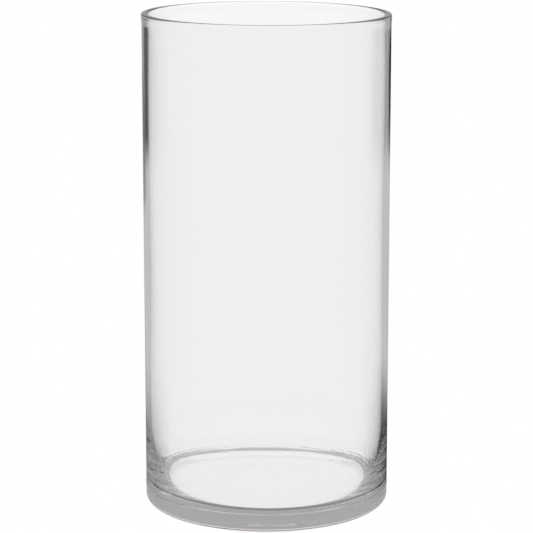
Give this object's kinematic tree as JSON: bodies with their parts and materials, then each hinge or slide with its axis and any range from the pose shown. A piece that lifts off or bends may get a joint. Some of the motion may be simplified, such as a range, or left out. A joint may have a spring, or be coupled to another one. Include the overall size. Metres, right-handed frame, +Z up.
{
  "type": "glass cylinder vase",
  "caption": "Tall straight-sided cylinder vase in clear glass with a thick flat base, rounded heel and polished open rim, for cut flowers, branches or candles.",
  "frame": {"origin": "centre of the foot, on the surface that the vase stands on", "axes": "+Z up along the vase's axis; X and Y are any two horizontal directions, because the vase is round"},
  "size_m": [0.1516, 0.1516, 0.3045],
  "materials": {
    "clear_glass": "clear, fire-polished"
  },
  "bodies": {
    "root": {"glass_cylinder": "clear_glass"}
  },
  "joints": []
}
